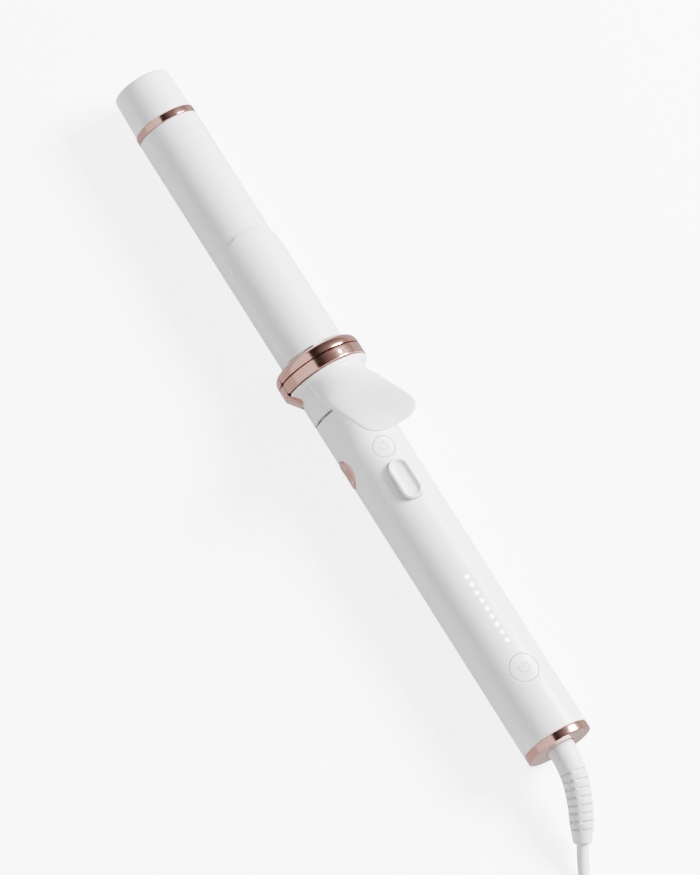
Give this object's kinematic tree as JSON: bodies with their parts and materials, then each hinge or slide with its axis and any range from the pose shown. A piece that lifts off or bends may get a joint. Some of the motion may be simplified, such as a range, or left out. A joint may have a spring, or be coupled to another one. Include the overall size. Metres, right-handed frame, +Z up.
{
  "type": "automatic hair curler",
  "caption": "Motorised curling iron with a turning barrel, hair clip, raised thumb lever, double trim ring, press buttons, rocker key, light row and a folded mains lead.",
  "frame": {"origin": "on the surface that the tool lies on, below the middle of its length", "axes": "+X along the barrel towards the tip, +Z up out of the buttons and the thumb lever"},
  "size_m": [0.6225, 0.0564, 0.0696],
  "materials": {
    "white_shell": "satin moulded shell",
    "white_barrel": "smooth white ceramic coat",
    "rose_gold": "polished rose gold plate",
    "white_rubber": "matte white jacket",
    "light_dot": "translucent light guide",
    "steel": "plain steel",
    "brass": "machined brass",
    "nylon": "heat-resistant nylon",
    "circuit_board": "green solder mask",
    "ceramic": "fired ceramic",
    "black_plastic": "black moulding"
  },
  "bodies": {
    "handle": {"casing_top": "white_shell", "casing_bottom": "white_shell", "side_medallion": "rose_gold", "casing_screw_1": "steel", "casing_screw_2": "steel", "chassis": "nylon", "main_board": "circuit_board", "power_switch": "black_plastic", "mode_switch": "black_plastic", "rocker_switch_fwd": "black_plastic", "rocker_switch_back": "black_plastic", "light_guide": "light_dot", "motor_can": "steel", "reduction_gearbox": "black_plastic", "neck": "white_shell", "collar_underside": "white_shell", "rear_bearing": "steel", "front_bearing": "steel", "brush_block": "black_plastic", "lower_ring_front": "rose_gold", "alignment_dot": "light_dot", "lower_ring_back": "rose_gold", "lever_spring_left": "steel", "lever_spring_right": "steel", "tail_cap": "rose_gold", "strain_relief": "white_rubber", "cord_free_stretch": "white_rubber", "cord_hank": "white_rubber", "cord_tie": "black_plastic", "plug_body": "white_rubber", "plug_blade_left": "brass", "plug_blade_right": "brass"},
    "barrel": {"barrel_tube": "white_barrel", "tip_ring": "rose_gold", "tip_cap": "white_shell", "front_heater_holder": "nylon", "rear_heater_holder": "nylon", "heater_core": "ceramic", "temperature_sensor": "black_plastic", "barrel_hub": "nylon", "slip_ring_drum": "brass", "drive_ring_gear": "nylon", "upper_ring_front": "rose_gold", "upper_ring_back": "rose_gold", "clip_pin": "steel", "clip_spring_left": "steel", "clip_spring_right": "steel"},
    "clip": {"hair_clip": "white_barrel"},
    "lever": {"thumb_lever": "white_shell"},
    "pinion": {"drive_pinion": "brass"},
    "power_key": {"power_button": "white_shell"},
    "mode_key": {"mode_button": "white_shell"},
    "rocker": {"rocker_key": "white_shell"}
  },
  "joints": [
    {"name": "barrel_spin", "type": "hinge", "parent": "handle", "child": "barrel", "pos_m": [0.0285, 0, 0.0226], "axis": [1, 0, 0], "continuous": true},
    {"name": "pinion_spin", "type": "hinge", "parent": "handle", "child": "pinion", "pos_m": [-0.0175, 0, 0.0162], "axis": [1, 0, 0], "continuous": true},
    {"name": "lever_press", "type": "hinge", "parent": "handle", "child": "lever", "pos_m": [0.0155, 0, 0.0226], "axis": [0, -1, 0], "range_deg": [0, 10], "stiffness_Nm_per_rad": 0.9, "springref_deg": -20.05},
    {"name": "clip_open", "type": "hinge", "parent": "barrel", "child": "clip", "pos_m": [0.0331, 0, 0.0348], "axis": [0, -1, 0], "range_deg": [0, 12]},
    {"name": "power_press", "type": "slide", "parent": "handle", "child": "power_key", "axis": [0, 0, -1], "range_m": [0, 0.00025], "stiffness_N_per_m": 400, "springref_m": -0.0005},
    {"name": "mode_press", "type": "slide", "parent": "handle", "child": "mode_key", "axis": [0, 0, -1], "range_m": [0, 0.00025], "stiffness_N_per_m": 400, "springref_m": -0.0005},
    {"name": "rocker_tilt", "type": "hinge", "parent": "handle", "child": "rocker", "pos_m": [-0.0465, 0, 0.0358], "axis": [0, 1, 0], "range_deg": [-2.5, 2.5], "stiffness_Nm_per_rad": 0.3}
  ],
  "couplings": [
    {"joint": "pinion_spin", "follows": "barrel_spin", "ratio": 3},
    {"joint": "clip_open", "follows": "lever_press", "ratio": 1.2}
  ]
}
